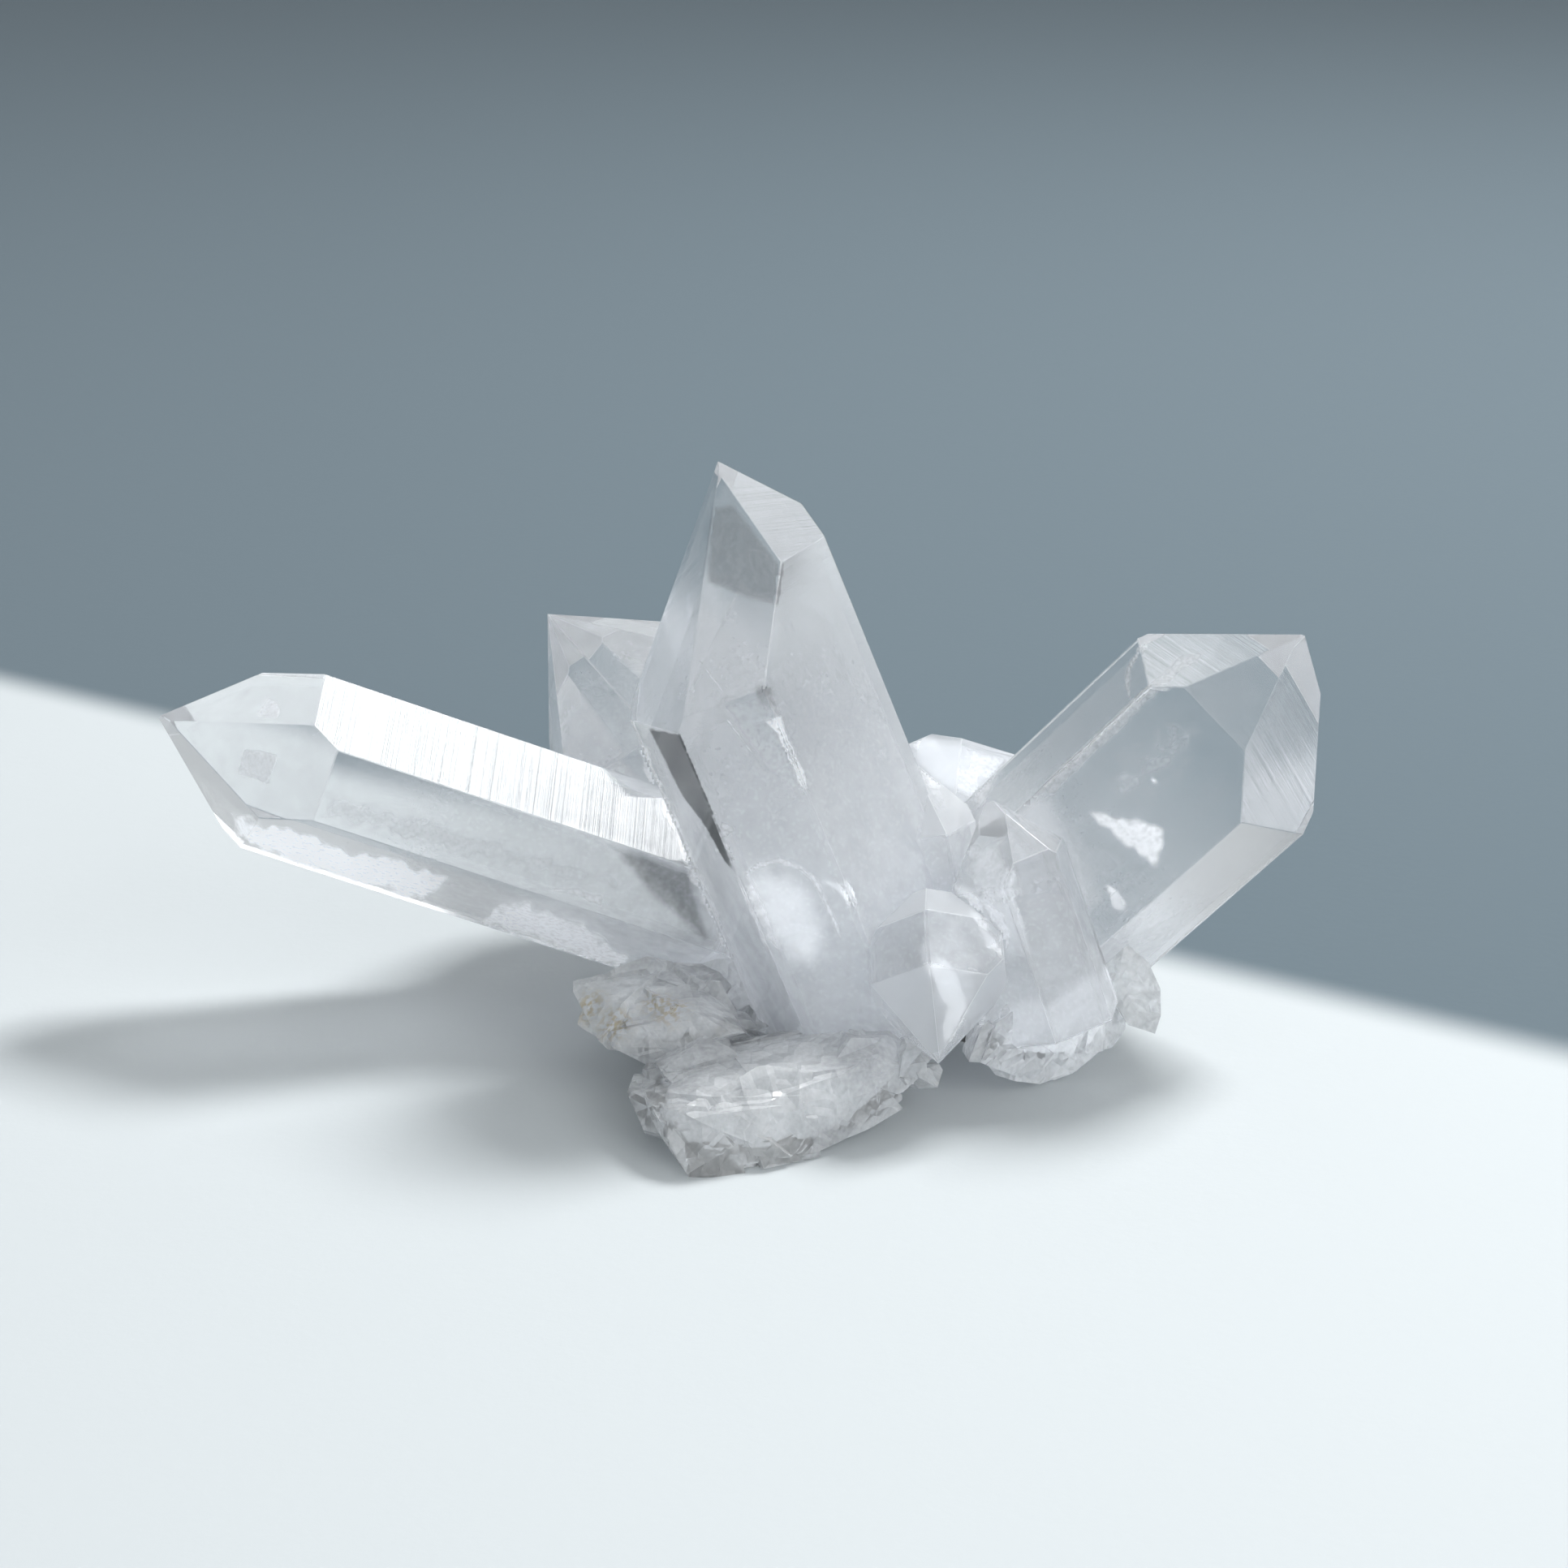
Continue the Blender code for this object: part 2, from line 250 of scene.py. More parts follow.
LUMPS = (
    Lump("front_foot",
         ((-3.0, -33.5, 0.0), (1.0, -33.5, -0.5), (7.0, -31.5, -0.5), (10.0, -29.5, 0.0),
          (-6.0, -30.5, 3.0), (-8.0, -26.5, 5.5), (-5.0, -31.0, 5.5), (4.0, -30.5, 6.0),
          (10.5, -27.5, 7.5), (15.0, -25.0, 3.0), (19.0, -21.5, 5.0), (16.0, -17.0, 9.0),
          (14.0, -12.0, -2.0), (-6.0, -14.0, -2.0), (-5.0, -17.0, 5.0), (5.0, -17.0, 7.0)),
         60, (2.2, 4.6)),
    Lump("left_foot",
         ((-13.0, -13.0, 8.5), (-10.0, -11.0, 9.5), (-1.0, -9.0, 9.0), (3.5, -22.0, 7.0),
          (-8.0, -23.0, 4.5), (-11.0, -21.0, 5.0), (-12.5, -18.5, 6.5), (-2.0, -20.0, 9.5),
          (-4.0, 0.0, -2.0), (5.0, -5.0, -2.0)),
         34, (1.8, 3.8)),
    Lump("right_foot",
         ((20.0, -21.5, 3.5), (24.0, -18.0, 4.0), (29.0, -15.5, 1.5), (31.0, -15.0, -0.5),
          (32.5, -13.5, 0.0), (34.5, -11.0, 1.5), (33.0, -9.0, 9.0), (31.0, -8.5, 11.0),
          (22.0, -21.0, 9.0), (27.0, -18.0, 11.5), (18.0, -5.0, 1.0), (30.0, 0.0, 3.0)),
         30, (1.6, 3.2)),
    Lump("flake",
         ((34.0, -8.5, 10.0), (36.0, -9.5, 8.5), (37.0, -10.5, 6.5), (37.0, -11.5, 4.5),
          (36.5, -12.0, 3.0), (34.0, -13.5, 4.5), (33.0, -12.0, 6.0), (31.0, -6.0, 7.0))),
    Lump("core",
         ((-8.0, -4.0, -2.0), (-6.0, 14.0, -2.0), (6.0, 26.0, -2.0), (22.0, 22.0, 1.0),
          (30.0, 4.0, 4.0), (18.0, -14.0, 2.0), (-2.0, 12.0, 13.0), (8.0, 18.0, 14.0),
          (20.0, 10.0, 15.0), (24.0, -4.0, 13.0), (4.0, -4.0, 15.0), (14.0, -12.0, 14.0)),
         40, (3.0, 5.0)),
)


@dataclass(frozen=True)
class Heart:
    """The milky middle of a crystal, as a smaller crystal inside it."""

    crystal: str
    inset: float  # from each side of the crystal, mm
    reach: float  # share of the crystal's length that it fills
    cloud: float  # how much of the light its thickest parts stop
    rate: float = 0.35  # of its clouds, per mm
    glow: float = 0.08  # painted glow: emitted light that stands in for the sunlight that it gathers


# The glow of a heart (its sixth number, 0.08 where it is left out) is painted glow, emitted light standing in
# for sunlight.
HEARTS = (
    Heart("tall", 1.4, 0.98, 0.48, 0.35, 0.20),
    Heart("tall", 3.2, 0.80, 0.80, 0.18, 0.0),
    Heart("right", 1.4, 0.95, 0.40, 0.30),
    Heart("left", 1.4, 0.96, 0.55, 0.50),
    Heart("square", 1.0, 0.96, 0.75),
    Heart("back", 0.8, 0.98, 1.0, 0.35, 0.2),
    Heart("stub", 0.9, 0.95, 0.6, 0.35, 0.14),
    Heart("hanging", 0.9, 0.95, 0.6, 0.35, 0.0),
    Heart("shoulder", 0.8, 0.95, 0.9),
)


@dataclass(frozen=True)
class Veil:
    """A thin cloudy sheet inside the quartz, given by the outline that it shows from the front. Its glow is
    painted light, and a dark one is a painted dark reflection.
    """

    name: str
    outline: tuple  # corners, in pixels of the view
    inset: float  # how far behind the surface, mm
    strength: float  # how much of the light it stops
    ragged: float = 6.0  # how far its border wanders, pixels
    soft: float = 5.0  # how wide its border fades, pixels
    glow: float = 0.0  # painted glow: emitted light that stands in for the sunlight that it catches
    tone: float = 1.0  # 1 white, 0 dark; a dark sheet is a painted dark reflection
    ripple: float = 0.5  # how far it waves in and out, mm


def ribbon(width, *points):
    """The outline of a band that follows a few points of the view and narrows to its ends."""
    sides = []
    for number, (across, down) in enumerate(points):
        before, after = points[max(number - 1, 0)], points[min(number + 1, len(points) - 1)]
        way = Vector((after[0] - before[0], after[1] - before[1])).normalized()
        half = width / 2 * (1.0 if 0 < number < len(points) - 1 else RIBBON_END)
        sides.append(((across - way.y * half, down + way.x * half),
                      (across + way.y * half, down - way.x * half)))
    return (*(one for one, _ in sides), *(other for _, other in reversed(sides)))


VEILS = (
    # The tall crystal: a dark wedge and window that are painted dark reflections, a patch low down that glows
    # with painted light, healed cracks and a bright streak, both with painted glow.
    Veil("tall_wedge", ((799, 898), (838, 905), (872, 987), (905, 1075), (893, 1062), (868, 1017),
                        (840, 980), (812, 922)), 0.35, 1.6, 1.0, 2.0, 0.0, 0.0, 0.0),
    Veil("tall_window", ((878, 625), (903, 619), (962, 696), (958, 747), (920, 738), (870, 717), (873, 660)),
         1.0, 0.5, 1.0, 5.0, 0.0, 0.25, 0.0),
    Veil("tall_low_window", ((882, 867), (925, 855), (947, 845), (975, 915), (1000, 985), (985, 990),
                             (940, 950)), 2.2, 0.45, 2.0, 12.0, 0.1),
    Veil("tall_spot", ((927, 850), (943, 843), (953, 853), (957, 870), (937, 867)),
         0.8, 0.3, 5.0, 5.0, 0.0, 0.1),
    Veil("tall_glow", ((910, 1093), (914, 1075), (937, 1068), (975, 1070), (1000, 1090), (1015, 1130),
                       (1022, 1180), (1003, 1193), (973, 1187), (940, 1160), (927, 1133)),
         2.0, 1.0, 8.0, 22.0, 0.8),
    Veil("tall_streak", ((941, 888), (962, 881), (973, 913), (993, 950), (998, 983), (985, 967),
                         (970, 930), (955, 903)), 1.0, 1.0, 3.0, 4.0, 0.6),
    Veil("tall_crescent", ribbon(8, (915, 1078), (937, 1065), (960, 1060), (987, 1070), (1003, 1083),
                                 (1017, 1110), (1030, 1140), (1040, 1167)), 1.2, 0.9, 2.0, 3.0, 0.5),
    Veil("tall_crescent_small", ribbon(12, (1010, 1083), (1033, 1093), (1047, 1107), (1055, 1120)),
         1.6, 1.0, 3.0, 4.0, 0.7),
    Veil("tall_line_upper", ribbon(5, (855.9, 805), (875, 832), (895.5, 858)), 0.8, 0.6, 1.0, 2.0, 0.2),
    Veil("tall_line_lower", ribbon(5, (882, 867), (912, 908), (945, 952)), 0.8, 0.6, 1.0, 2.0, 0.2),
    Veil("tall_chips", ribbon(12, (783, 900), (800, 945), (820, 990), (853, 1070), (885, 1140), (905, 1195)),
         0.4, 0.9, 8.0, 4.0, 0.6),
    Veil("tall_specks", ribbon(20, (880, 1000), (895, 1020), (890, 1045), (905, 1065)),
         0.8, 0.6, 14.0, 8.0, 0.4),
    # The long left crystal: painted sunlit patches, white glowing sheets, on its lower face and at its tip,
    # and a dark wedge at its root, a painted dark reflection.
    Veil("left_low_near", ((275, 996), (296, 1003), (314, 1013), (339, 1013), (368, 1024), (403, 1038),
                           (431, 1049), (460, 1052), (492, 1060), (531, 1070), (552, 1081), (538, 1099),
                           (524, 1113), (460, 1095), (375, 1070), (325, 1049), (293, 1035)),
         0.6, 1.0, 8.0, 6.0, 0.7),
    Veil("left_low_far", ((598, 1130), (616, 1116), (648, 1111), (680, 1127), (722, 1134), (737, 1155),
                          (772, 1177), (772, 1191), (722, 1184), (680, 1166), (595, 1138)),
         0.6, 1.0, 8.0, 6.0, 0.7),
    Veil("left_tip", ((312, 882), (325, 871), (332, 857), (346, 864), (343, 886), (353, 889)),
         0.8, 0.9, 4.0, 4.0, 0.5),
    Veil("left_window", ((300, 921), (343, 928), (332, 967), (291, 953)), 1.5, 0.7, 2.0, 3.0, 0.4),
    Veil("left_patch", ((662, 1095), (705, 1091), (744, 1102), (744, 1123), (715, 1109)),
         1.0, 0.8, 3.0, 6.0, 0.4),
    Veil("left_dark", ((745, 1037), (800, 1052), (852, 1070), (866, 1120), (880, 1172), (800, 1105)),
         0.8, 0.6, 2.0, 10.0, 0.0, 0.05),
    Veil("left_haze", ((400, 975), (520, 1005), (640, 1040), (760, 1075), (770, 1100), (640, 1075),
                       (520, 1045), (400, 1010)), 0.8, 0.45, 10.0, 14.0, 0.2),
    # The right crystal: a folded wedge, a drop, an arc-shaped crack and the bright bands at its sides, which
    # are painted reflections; each glows with painted light.
    Veil("right_wedge", ((1331, 996), (1355, 1000), (1405, 1010), (1435, 1022), (1435, 1037),
                         (1430, 1070), (1420, 1069), (1392, 1045), (1360, 1020)), 2.5, 1.0, 6.0, 6.0, 0.8),
    Veil("right_drop", ((1362, 1087), (1375, 1095), (1387, 1110), (1387, 1125), (1372, 1122),
                        (1367, 1107)), 2.0, 1.0, 4.0, 4.0, 0.7),
    Veil("right_arc", ribbon(6, (1417, 789), (1412, 795), (1397, 812), (1390, 827), (1389, 845), (1392, 862)),
         1.5, 0.9, 1.0, 2.5, 0.3),
    Veil("right_spot", ribbon(10, (1417, 958), (1422, 962), (1427, 966)), 1.5, 1.0, 1.0, 3.0, 0.8),
    Veil("right_band", ((1455, 805), (1495, 798), (1449, 837), (1401, 880), (1372, 910), (1295, 984),
                        (1282, 968), (1360, 895)), 1.0, 0.6, 3.0, 6.0, 0.25),
    Veil("right_wisps", ((1380, 930), (1440, 880), (1480, 900), (1450, 960), (1400, 1000), (1360, 975)),
         2.5, 0.35, 22.0, 30.0, 0.1),
    # Cracks in the two small front crystals, whose sparkle is painted glow, and the bright side of the one
    # behind them, a painted highlight.
    Veil("stub_crack", ribbon(16, (1170, 1090), (1195, 1100), (1203, 1125), (1220, 1160), (1235, 1175),
                              (1240, 1155), (1230, 1130), (1215, 1112)), 0.8, 1.0, 5.0, 4.0, 0.6),
    Veil("stub_glow", ((1180, 1040), (1240, 1030), (1262, 1100), (1270, 1180), (1235, 1200), (1205, 1120)),
         1.6, 0.7, 12.0, 16.0, 0.5),
    Veil("back_glow", ((1112, 896), (1180, 917), (1241, 934), (1210, 1000), (1187, 980), (1142, 970)),
         0.8, 0.9, 4.0, 8.0, 0.7),
    Veil("hanging_crack", ((1137, 1195), (1160, 1172), (1180, 1200), (1195, 1255), (1175, 1280),
                           (1160, 1285), (1165, 1240)), 1.0, 0.9, 8.0, 6.0, 0.6),
    Veil("hanging_glow", ((1120, 1150), (1180, 1130), (1215, 1190), (1200, 1260), (1150, 1230)),
         1.4, 0.6, 12.0, 16.0, 0.3),
)


@dataclass(frozen=True)
class SoftBox:
    """A lamp that faces the cluster from some way off, in metres."""

    name: str
    direction: tuple  # from the cluster
    distance: float
    size: tuple
    shift: tuple = (0.0, 0.0)  # to its own right and up


KEY_BOX = SoftBox("key", (0.520, 0.431, 1.0), 0.8, (0.2, 0.2))
FILL_BOX = SoftBox("fill", (0.85, -0.85, 0.6), 1.0, (0.8, 0.8))
# The long left crystal mirrors this box, so only mirrored light shows it.
GLINT_BOX = SoftBox("glint", (0.46, 0.57, 0.68), 1.2, (0.240, 0.195), (0.060, 0.118))


class QuartzSizes(bpy.types.PropertyGroup):
    """Sizes of the small forms on and in the quartz."""

    edge_wear: FloatProperty(
        name="Edge wear", description="Width of the worn strip between two crystal faces",
        default=0.00009, min=0.0, unit="LENGTH", subtype="DISTANCE")
    veil_step: FloatProperty(
        name="Veil step", description="Width of the squares that the veils are made of",
        default=3.0, min=1.0, subtype="PIXEL")


def colour_setting(name, description, default):
    return FloatVectorProperty(
        name=name, description=description, default=default, size=3, min=0.0, max=1.0, subtype="COLOR")


class QuartzColours(bpy.types.PropertyGroup):
    """Colours of the quartz and of what is in it."""

    clear: colour_setting(
        "Clear quartz", "Tint of the light that passes clear quartz", (0.985, 0.992, 1.0))
    milky: colour_setting(
        "Milky quartz", "Colour of the cloudy foot and of the crystals' roots", (0.96, 0.975, 0.985))
    veil: colour_setting("Veils", "Colour of the cloudy sheets and milky middles", (0.95, 0.97, 1.0))
    stain: colour_setting("Iron stain", "Colour of the stains on the left of the foot", (0.62, 0.50, 0.27))


class StudioSettings(bpy.types.PropertyGroup):
    """The floor and the lights."""

    floor: colour_setting("Floor", "Colour of the pale floor", (0.465, 0.494, 0.505))
    # Painted shadow: the far side of the floor is painted in this grey-blue, as a cast shadow.
    painted_shadow: colour_setting("Shade", "Colour of the far side of the floor", (0.104, 0.135, 0.155))
    sky: colour_setting("Sky", "Colour of the soft light from all round", (0.93, 0.97, 1.0))
    sky_strength: FloatProperty(
        name="Sky strength", description="Strength of the soft light from all round",
        default=0.70, min=0.0)
    key_glow: FloatProperty(
        name="Key glow", description="Brightness of the sunny box behind on the right", default=64.0, min=0.0)
    fill_glow: FloatProperty(
        name="Fill glow", description="Brightness of the large soft box in front on the right",
        default=2.5, min=0.0)
    glint_glow: FloatProperty(
        name="Glint glow", description="Brightness of the small soft box that the long left crystal mirrors",
        default=9.0, min=0.0)


class Wire:
    """A shader output that can be used in Python sums."""

    def __init__(self, recipe, socket):
        self.recipe = recipe
        self.socket = socket

    def sum(self, operation, *terms):
        return self.recipe.add("ShaderNodeMath", {"operation": operation}, dict(enumerate(terms)))[0]

    def __add__(self, other):
        return self.sum("ADD", self, other)

    def __sub__(self, other):
        return self.sum("SUBTRACT", self, other)

    def __rsub__(self, other):
        return self.sum("SUBTRACT", other, self)

    def __mul__(self, other):
        return self.sum("MULTIPLY", self, other)

    __radd__ = __add__
    __rmul__ = __mul__

    def clamped(self):
        return self.recipe.add("ShaderNodeClamp", {}, {0: self})[0]

    def between(self, low, high):
        """0 at low, 1 at high, with a soft start and end."""
        settings = {"interpolation_type": "SMOOTHSTEP"}
        sockets = {"Value": self, "From Min": low, "From Max": high}
        return self.recipe.add("ShaderNodeMapRange", settings, sockets)[0]


class Added:
    """A node whose outputs are read as wires, by number or name."""

    def __init__(self, recipe, node):
        self.recipe = recipe
        self.node = node

    def __getitem__(self, key):
        return Wire(self.recipe, self.node.outputs[key])


class Recipe:
    """A material's node tree, built by adding one node at a time."""

    def __init__(self, owner):
        owner.use_nodes = True
        self.tree = owner.node_tree
        self.tree.nodes.clear()

    def add(self, kind, settings=None, sockets=None):
        node = self.tree.nodes.new(kind)
        for name, value in (settings or {}).items():
            setattr(node, name, value)
        for key, value in (sockets or {}).items():
            if isinstance(value, Wire):
                self.tree.links.new(value.socket, node.inputs[key])
            else:
                node.inputs[key].default_value = value
        return Added(self, node)

    def place(self):
        """The point on the object, in millimetres."""
        point = self.add("ShaderNodeTexCoord")["Object"]
        return self.add("ShaderNodeVectorMath", {"operation": "SCALE"}, {0: point, "Scale": 1 / MM})[0]

    def clouds(self, place, rate, detail=3.0, roughness=0.5):
        return self.add("ShaderNodeTexNoise", {"noise_dimensions": "3D"},
                        {"Vector": place, "Scale": rate, "Detail": detail, "Roughness": roughness})[0]

    def chips(self, place, rate):
        """Flats that tilt every way, as on broken quartz."""
        settings = {"voronoi_dimensions": "3D", "distance": "CHEBYCHEV"}
        return self.add("ShaderNodeTexVoronoi", settings, {"Vector": place, "Scale": rate})["Distance"]

    def blend(self, factor, first, second):
        return self.add("ShaderNodeMix", {"data_type": "RGBA"}, {0: factor, 6: first, 7: second})[2]

    def attribute(self, name):
        return self.add("ShaderNodeAttribute", {"attribute_name": name})["Fac"]


def rgba(colour):
    return (*colour, 1.0)


def new_object(name, mesh_data):
    mesh = bpy.data.meshes.new(name)
    mesh_data.to_mesh(mesh)
    mesh_data.free()
    obj = bpy.data.objects.new(name, mesh)
    bpy.context.scene.collection.objects.link(obj)
    return obj


def crystal_axes(crystal):
    """Two directions across the crystal, the first square to face 0, and its long axis."""
    heading, rise, turn = (math.radians(a) for a in (crystal.heading, crystal.rise, crystal.turn))
    level = Vector((math.cos(heading), math.sin(heading), 0.0))
    up = Vector((0.0, 0.0, 1.0))
    axis = level * math.cos(rise) + up * math.sin(rise)
    below = level * math.sin(rise) - up * math.cos(rise)
    beside = axis.cross(below)
    first = below * math.cos(turn) + beside * math.sin(turn)
    return first, axis.cross(first), axis


def crystal_faces(crystal):
    """Every face of the crystal as a point on it, its outward direction and whether it is a prism face."""
    first, second, axis = crystal_axes(crystal)
    foot = Vector(crystal.foot)
    lean = math.radians(TIP_FACE_LEAN_DEG)
    faces = []
    for number in range(6):
        angle = math.radians(PRISM_STEP_DEG * number)
        outward = first * math.cos(angle) + second * math.sin(angle)
        faces.append((foot + outward * crystal.sides[number], outward, True))
        slope = outward * math.cos(lean) + axis * math.sin(lean)
        faces.append((foot + axis * crystal.tips[number], slope, False))
        if crystal.lower_tips:
            slope = outward * math.cos(lean) - axis * math.sin(lean)
            faces.append((foot - axis * crystal.lower_tips[number], slope, False))
    faces.append((foot - axis * crystal.root, -axis, False))
    return faces


def cut_block(block, point, outward):
    """Cuts off what lies outward of a plane and closes the block with a flat face."""
    cut = bmesh.ops.bisect_plane(
        block, geom=[*block.verts, *block.edges, *block.faces],
        plane_co=point, plane_no=outward, clear_outer=True, dist=CUT_SNAP,
    )
    rim = [part for part in cut["geom_cut"] if isinstance(part, bmesh.types.BMEdge)]
    if rim:
        bmesh.ops.holes_fill(block, edges=rim, sides=0)


def block_from_planes(middle, reach, planes):
    """The closed block inside a set of planes, in millimetres."""
    block = bmesh.new()
    bmesh.ops.create_cube(block, size=reach * 2, matrix=Matrix.Translation(middle))
    for point, outward in planes:
        cut_block(block, point, outward)
    bmesh.ops.recalc_face_normals(block, faces=block.faces[:])
    return block


def solid_from_planes(name, middle, reach, planes):
    """The closed block inside a set of planes, or None where nothing is left of it."""
    block = block_from_planes(middle, reach, planes)
    if len(block.faces) < FEWEST_FACES:
        block.free()
        return None
    bmesh.ops.scale(block, vec=(MM, MM, MM), verts=block.verts[:])
    return new_object(name, block)


def grow_crystal(crystal, edge_wear, chance):
    """A closed crystal with a narrow worn strip along each edge."""
    planes = [(point, outward) for point, outward, _ in crystal_faces(crystal)]
    middle, reach = Vector(crystal.foot), max(crystal.tips) * BLANK_REACH
    sharp = block_from_planes(middle, reach, planes)
    strips = []
    for edge in sharp.edges:
        if edge.calc_length() < SHORTEST_WORN_EDGE:
            continue
        outward = (edge.link_faces[0].normal + edge.link_faces[1].normal).normalized()
        width = edge_wear / MM * chance.uniform(*WEAR_SPREAD)
        depth = width / 2 * math.tan(edge.calc_face_angle() / 2)
        strips.append((edge.verts[0].co - outward * depth, outward))
    sharp.free()
    return solid_from_planes(crystal.name, middle, reach, [*planes, *strips])


def hull_faces(corners):
    """The outer planes of a few corner points, each as a point on it and its outward direction."""
    points = [Vector(corner) for corner in corners]
    faces = []
    for a, b, c in itertools.combinations(points, 3):
        across = (b - a).cross(c - a)
        if across.length < SMALLEST_HULL_AREA:
            continue
        outward = across.normalized()
        heights = [outward.dot(point - a) for point in points]
        if min(heights) > -HULL_TOLERANCE:
            outward = -outward
        elif max(heights) > HULL_TOLERANCE:
            continue
        if not any(outward.dot(known) > SAME_DIRECTION for _, known in faces):
            faces.append((a, outward))
    return faces


def random_direction(chance):
    turn, height = chance.uniform(0.0, 2.0 * math.pi), chance.uniform(-1.0, 1.0)
    level = math.sqrt(1.0 - height * height)
    return Vector((level * math.cos(turn), level * math.sin(turn), height))


def shard_spot(chance, corners, planes):
    """A random place just under the surface of a lump."""
    spans = [(min(axis), max(axis)) for axis in zip(*corners)]
    for _ in range(SPOT_TRIES):
        spot = Vector([chance.uniform(low, high) for low, high in spans])
        depth = min((point - spot).dot(outward) for point, outward in planes)
        if SHARD_DEPTH[0] < depth < SHARD_DEPTH[1] and spot.z > SHARD_LOWEST:
            return spot
    raise RuntimeError("no room for a shard")


def shard_planes(chance, spot, size, planes):
    """The planes of one splinter: rough flats of its own, and the lump's flats a little off."""
    grain = random_direction(chance)
    flats = []
    for _ in range(SHARD_FLATS):
        outward = random_direction(chance)
        stretch = 1.0 + SHARD_STRETCH * abs(outward.dot(grain))
        flats.append((spot + outward * size * stretch * chance.uniform(*SHARD_REACH), outward))
    for point, outward in planes:
        tilted = (outward + random_direction(chance) * SHARD_TILT).normalized()
        flats.append((point + outward * chance.uniform(*SHARD_STEP), tilted))
    return flats


def build_foot():
    """The broken foot: lumps, each with splinters standing out of it in flat facets."""
    chance = random.Random(SHARD_SEED)
    pieces = []
    for lump in LUMPS:
        planes = hull_faces(lump.corners)
        middle = sum((Vector(corner) for corner in lump.corners), Vector()) / len(lump.corners)
        reach = max((Vector(corner) - middle).length for corner in lump.corners) * BLANK_REACH
        inset = LUMP_INSET if lump.shards else 0.0
        body = [(point - outward * inset, outward) for point, outward in planes]
        pieces.append(solid_from_planes(lump.name, middle, reach, body))
        for number in range(lump.shards):
            spot = shard_spot(chance, lump.corners, planes)
            size = chance.uniform(*lump.shard_sizes)
            flats = shard_planes(chance, spot, size, planes)
            shard = solid_from_planes(f"{lump.name}_{number}", spot, size * BLANK_REACH, flats)
            if shard:
                pieces.append(shard)
    for piece in pieces:
        for face in piece.data.polygons:
            face.material_index = BROKEN
    return pieces


def join_all(base, others):
    """One mesh from solids that overlap, with what is below the floor cut off."""
    block = bmesh.new()
    bmesh.ops.create_cube(block, size=REST_CUTTER_SIZE)
    bmesh.ops.translate(block, vec=(0.0, 0.0, -REST_CUTTER_SIZE / 2), verts=block.verts[:])
    cutter = new_object("rest_cutter", block)
    marks = [bpy.data.materials.new(name) for name in ("grown", "broken")]
    for obj in (base, *others, cutter):
        for mark in marks:
            obj.data.materials.append(mark)
    for face in cutter.data.polygons:
        face.material_index = BROKEN
    grown_on = bpy.data.collections.new("grown_on")
    bpy.context.scene.collection.children.link(grown_on)
    for other in others:
        grown_on.objects.link(other)
    union = base.modifiers.new("grown_on", "BOOLEAN")
    union.operand_type = "COLLECTION"
    union.collection = grown_on
    union.operation = "UNION"
    union.solver = "EXACT"
    rest = base.modifiers.new("rest", "BOOLEAN")
    rest.operation = "DIFFERENCE"
    rest.solver = "EXACT"
    rest.object = cutter
    bpy.context.view_layer.update()
    graph = bpy.context.evaluated_depsgraph_get()
    mesh = bpy.data.meshes.new_from_object(base.evaluated_get(graph), depsgraph=graph)
    for obj in (base, *others, cutter):
        bpy.data.objects.remove(obj)
    return mesh


def mark_faces(mesh):
    """Writes on the mesh what its material reads: broken, worn and prism faces, and the way up a crystal."""
    planes = [(crystal, *face) for crystal in CRYSTALS for face in crystal_faces(crystal)]
    origins = np.array([plane[1] for plane in planes]) * MM
    normals = np.array([plane[2] for plane in planes])
    broken = np.zeros(len(mesh.polygons), np.float32)
    worn = np.zeros(len(mesh.polygons), np.float32)
    prism = np.zeros(len(mesh.polygons), np.float32)
    along = np.zeros(len(mesh.loops), np.float32)
    for face in mesh.polygons:
        offset = np.abs(((np.array(face.center) - origins) * normals).sum(1))
        turned = 1.0 - normals @ np.array(face.normal)
        best = int((offset + TURN_PENALTY * turned * MM).argmin())
        crystal, _, _, is_prism = planes[best]
        if face.material_index == BROKEN:
            broken[face.index] = 1.0
            continue
        axis = crystal_axes(crystal)[2]
        worn[face.index] = float(offset[best] > SAME_FACE_GAP * MM or turned[best] > 1.0 - SAME_FACE_TURN)
        prism[face.index] = float(is_prism)
        for corner in face.loop_indices:
            spot = mesh.vertices[mesh.loops[corner].vertex_index].co / MM
            along[corner] = axis.dot(spot - Vector(crystal.foot))
    for name, values, domain in (("broken", broken, "FACE"), ("worn", worn, "FACE"),
                                 ("prism", prism, "FACE"), ("along", along, "CORNER")):
        mesh.attributes.new(name, "FLOAT", domain).data.foreach_set("value", values)


def near_any(make, place, spots, radius):
    """1 at any of a few places, falling to 0 at the radius round them."""
    near = None
    for spot in spots:
        gap = make.add("ShaderNodeVectorMath", {"operation": "DISTANCE"}, {0: place, 1: tuple(spot)})["Value"]
        share = 1.0 - gap.between(0.0, radius)
        near = share if near is None else near.sum("MAXIMUM", near, share)
    return near


